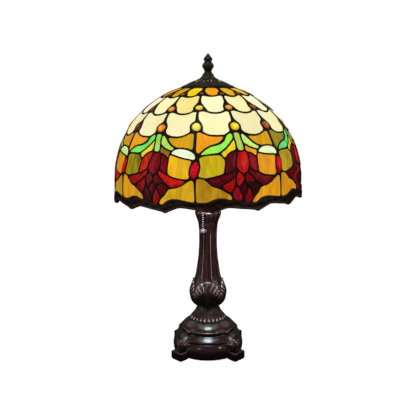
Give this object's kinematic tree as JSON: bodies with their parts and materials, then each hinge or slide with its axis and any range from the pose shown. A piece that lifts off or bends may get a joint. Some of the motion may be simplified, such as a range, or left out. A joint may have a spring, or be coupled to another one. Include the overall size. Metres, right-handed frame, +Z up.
{
  "type": "stained glass table lamp",
  "caption": "Table lamp with a domed leaded art-glass shade in a tulip pattern on a dark bronze fluted column and footed base, with a pull chain.",
  "frame": {"origin": "centre of the base on the surface that the lamp stands on", "axes": "+Z up through the column to the finial, -Y towards the front, where the pull chain hangs, +X to the right seen from the front"},
  "size_m": [0.2976, 0.2976, 0.4826],
  "materials": {
    "bronze": "antique dark bronze, semi-gloss with worn reddish-brown highs",
    "lead": "dark patinated solder",
    "amber_glass": "opalescent streaky sheet glass, glossy",
    "cream_glass": "opalescent cream sheet glass, glossy",
    "tulip_glass": "streaky red, amber and green art glass, glossy",
    "jewel_glass": "pressed cabochon, polished",
    "brass": "satin",
    "chain": "antique brass beads",
    "steel": "zinc plated",
    "iron": "raw casting",
    "felt": "felt",
    "plastic": "moulded",
    "fibre": "fibre insulating sleeve",
    "bulb_metal": "rolled thread",
    "bulb_glass": "frosted"
  },
  "bodies": {
    "root": {"base_casting": "bronze", "base_ballast": "iron", "base_bottom_plate": "steel", "foot_pad_back_right": "felt", "foot_pad_back_left": "felt", "foot_pad_front_left": "felt", "foot_pad_front_right": "felt", "tube_washer": "steel", "tube_nut": "brass", "cord_bushing": "plastic", "threaded_tube": "steel", "column_skirt": "bronze", "column_bulb": "bronze", "column_shaft": "bronze", "column_capital": "bronze", "harp_saddle": "brass", "harp_loop": "brass", "harp_stud": "brass", "socket_cap": "brass", "socket_shell": "brass", "switch_body": "plastic", "centre_contact": "brass", "socket_liner": "fibre", "screw_shell": "brass", "pull_arm": "brass"},
    "shade": {"vase_cap": "bronze", "shade_fitter_ring": "brass", "glass_crown_band": "amber_glass", "lead_ring_crown": "lead", "glass_cream_upper": "cream_glass", "lead_ring_upper": "lead", "glass_cream_lower": "cream_glass", "lead_ring_lower": "lead", "rim_band": "bronze", "tulip_panel_1": "tulip_glass", "tulip_panel_2": "tulip_glass", "tulip_panel_3": "tulip_glass", "tulip_panel_4": "tulip_glass", "tulip_panel_5": "tulip_glass", "tulip_panel_6": "tulip_glass", "tulip_panel_7": "tulip_glass", "seam_jewel_1": "jewel_glass", "seam_jewel_2": "jewel_glass", "seam_jewel_3": "jewel_glass", "seam_jewel_4": "jewel_glass", "seam_jewel_5": "jewel_glass", "seam_jewel_6": "jewel_glass", "seam_jewel_7": "jewel_glass"},
    "finial": {"finial": "bronze", "finial_insert": "brass"},
    "chain": {"pull_chain": "chain", "pull_knob": "bronze"},
    "bulb": {"bulb_base": "bulb_metal", "bulb_glass": "bulb_glass"},
    "sleeve_left": {"harp_sleeve_left": "brass"},
    "sleeve_right": {"harp_sleeve_right": "brass"}
  },
  "joints": [
    {"name": "shade_lift", "type": "slide", "parent": "root", "child": "shade", "axis": [0, 0, 1], "range_m": [0, 0.24]},
    {"name": "finial_spin", "type": "hinge", "parent": "shade", "child": "finial", "pos_m": [0, 0, 0.4505], "axis": [0, 0, 1], "continuous": true},
    {"name": "bulb_spin", "type": "hinge", "parent": "root", "child": "bulb", "pos_m": [0, 0, 0.295], "axis": [0, 0, 1], "continuous": true},
    {"name": "chain_pull", "type": "slide", "parent": "root", "child": "chain", "axis": [0, 0, -1], "range_m": [0, 0.008], "stiffness_N_per_m": 250},
    {"name": "sleeve_left_lift", "type": "slide", "parent": "root", "child": "sleeve_left", "axis": [0, 0, 1], "range_m": [0, 0.015]},
    {"name": "sleeve_right_lift", "type": "slide", "parent": "root", "child": "sleeve_right", "axis": [0, 0, 1], "range_m": [0, 0.015]}
  ]
}
